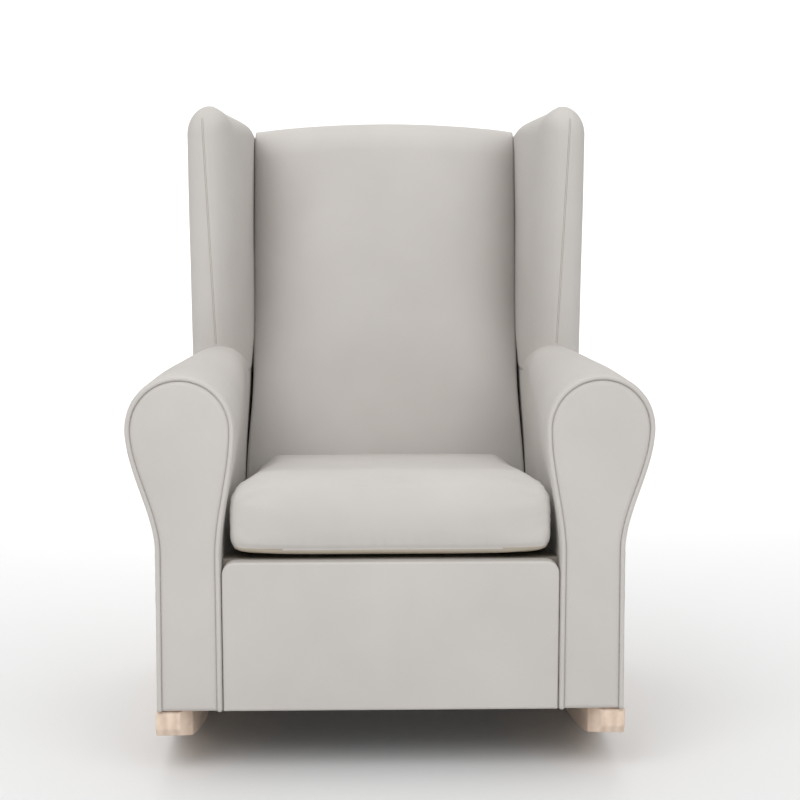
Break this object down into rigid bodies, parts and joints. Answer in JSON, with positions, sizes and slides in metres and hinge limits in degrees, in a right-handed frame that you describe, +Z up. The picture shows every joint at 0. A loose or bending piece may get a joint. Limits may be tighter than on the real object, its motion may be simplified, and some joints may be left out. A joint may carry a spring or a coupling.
{
  "type": "rocking chair",
  "caption": "High-backed upholstered rocking chair with side wings, rolled arms, a loose seat cushion and two curved wooden rockers.",
  "frame": {"origin": "on the floor, below the middle of the chair's bounding box, with the cushion in place and the rockers level", "axes": "the seat faces -Y, +X is to the sitter's left, +Z is up"},
  "size_m": [0.7998, 0.8, 1.0355],
  "materials": {
    "upholstery": "fine plain weave, matte",
    "deck_cloth": "plain platform cloth",
    "rocker_wood": "pale beech, matt varnish",
    "frame_wood": "sawn pine",
    "steel": "zinc plated",
    "webbing": "elastic webbing",
    "lining": "non-woven dust cloth",
    "foam": "cushion foam"
  },
  "bodies": {
    "chair": {"rocker_left": "rocker_wood", "rocker_right": "rocker_wood", "rocker_bolts": "steel", "rocker_washers": "steel", "rocker_nuts": "steel", "bottom_rail_left": "frame_wood", "bottom_rail_right": "frame_wood", "bottom_rail_front": "frame_wood", "bottom_rail_rear": "frame_wood", "seat_rail_left": "frame_wood", "seat_rail_right": "frame_wood", "seat_rail_front": "frame_wood", "seat_rail_rear": "frame_wood", "corner_blocks": "frame_wood", "arm_board_left": "frame_wood", "arm_board_right": "frame_wood", "arm_rail_left": "frame_wood", "arm_rail_right": "frame_wood", "back_post_left": "frame_wood", "back_post_right": "frame_wood", "back_top_rail": "frame_wood", "back_low_rail": "frame_wood", "wing_board_left": "frame_wood", "wing_board_right": "frame_wood", "seat_springs": "steel", "spring_clips": "steel", "back_webbing": "webbing", "seat_deck": "deck_cloth", "apron": "upholstery", "arm_pad_left": "upholstery", "arm_pad_right": "upholstery", "arm_facing_left": "upholstery", "arm_facing_right": "upholstery", "arm_welt_left": "upholstery", "arm_welt_right": "upholstery", "side_panel_left": "upholstery", "side_panel_right": "upholstery", "wing_pad_left": "upholstery", "wing_pad_right": "upholstery", "back_pad": "upholstery", "back_panel": "upholstery", "dust_cover": "lining"},
    "seat_cushion": {"cushion_cover": "upholstery", "cushion_base": "upholstery", "cushion_foam": "foam"}
  },
  "joints": [
    {"name": "cushion_slide", "type": "slide", "parent": "chair", "child": "seat_cushion", "axis": [0, -0.9938, 0.1115], "range_m": [0, 0.5]}
  ]
}
